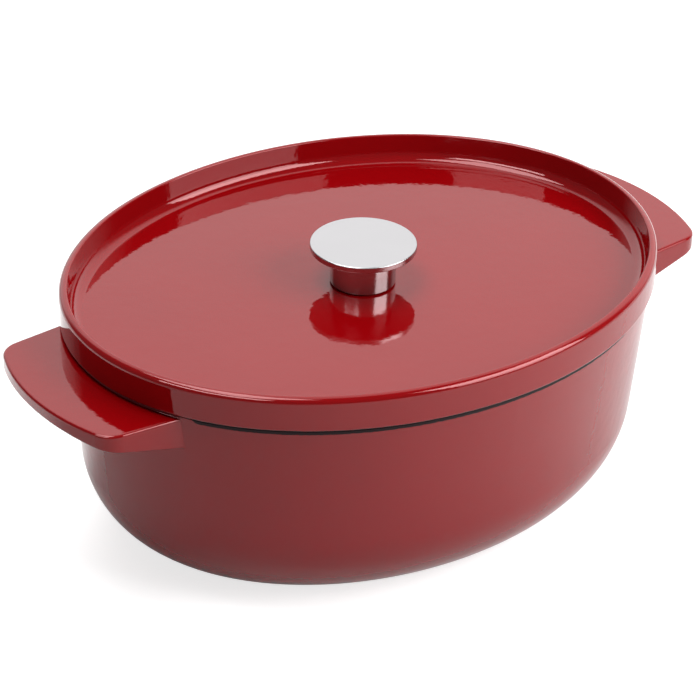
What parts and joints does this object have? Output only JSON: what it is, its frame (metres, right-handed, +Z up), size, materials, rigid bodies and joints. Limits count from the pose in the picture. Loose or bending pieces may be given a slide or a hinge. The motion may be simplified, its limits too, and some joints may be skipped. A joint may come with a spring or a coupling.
{
  "type": "covered casserole dish",
  "caption": "Oval enamelled cast-iron casserole with tab handles and a flat sunk lid that lifts off by a stainless steel knob.",
  "frame": {"origin": "centre of the ring that the pot stands on, at its lowest point", "axes": "+X along the length, through the two handles; +Y across; +Z up, along the lid's lift"},
  "size_m": [0.359, 0.243, 0.1314],
  "materials": {
    "red_enamelled_iron": "glossy red enamel baked on cast iron",
    "black_enamel": "matte black enamel with a fine speckle",
    "gasket_silicone": "matte silicone",
    "polished_steel": "polished stainless steel",
    "brushed_steel_cap": "stainless steel, turned face",
    "screw_steel": "plain stainless steel"
  },
  "bodies": {
    "pot": {"pot_casting": "red_enamelled_iron", "pot_lining": "black_enamel"},
    "lid": {"lid_casting": "red_enamelled_iron", "lid_lining": "black_enamel", "knob_gasket": "gasket_silicone", "knob_stem": "polished_steel", "knob_cap": "brushed_steel_cap", "knob_insert": "screw_steel", "knob_washer": "screw_steel", "knob_screw": "screw_steel"}
  },
  "joints": [
    {"name": "lid_lift", "type": "slide", "parent": "pot", "child": "lid", "axis": [0, 0, 1], "range_m": [0, 0.15]}
  ]
}
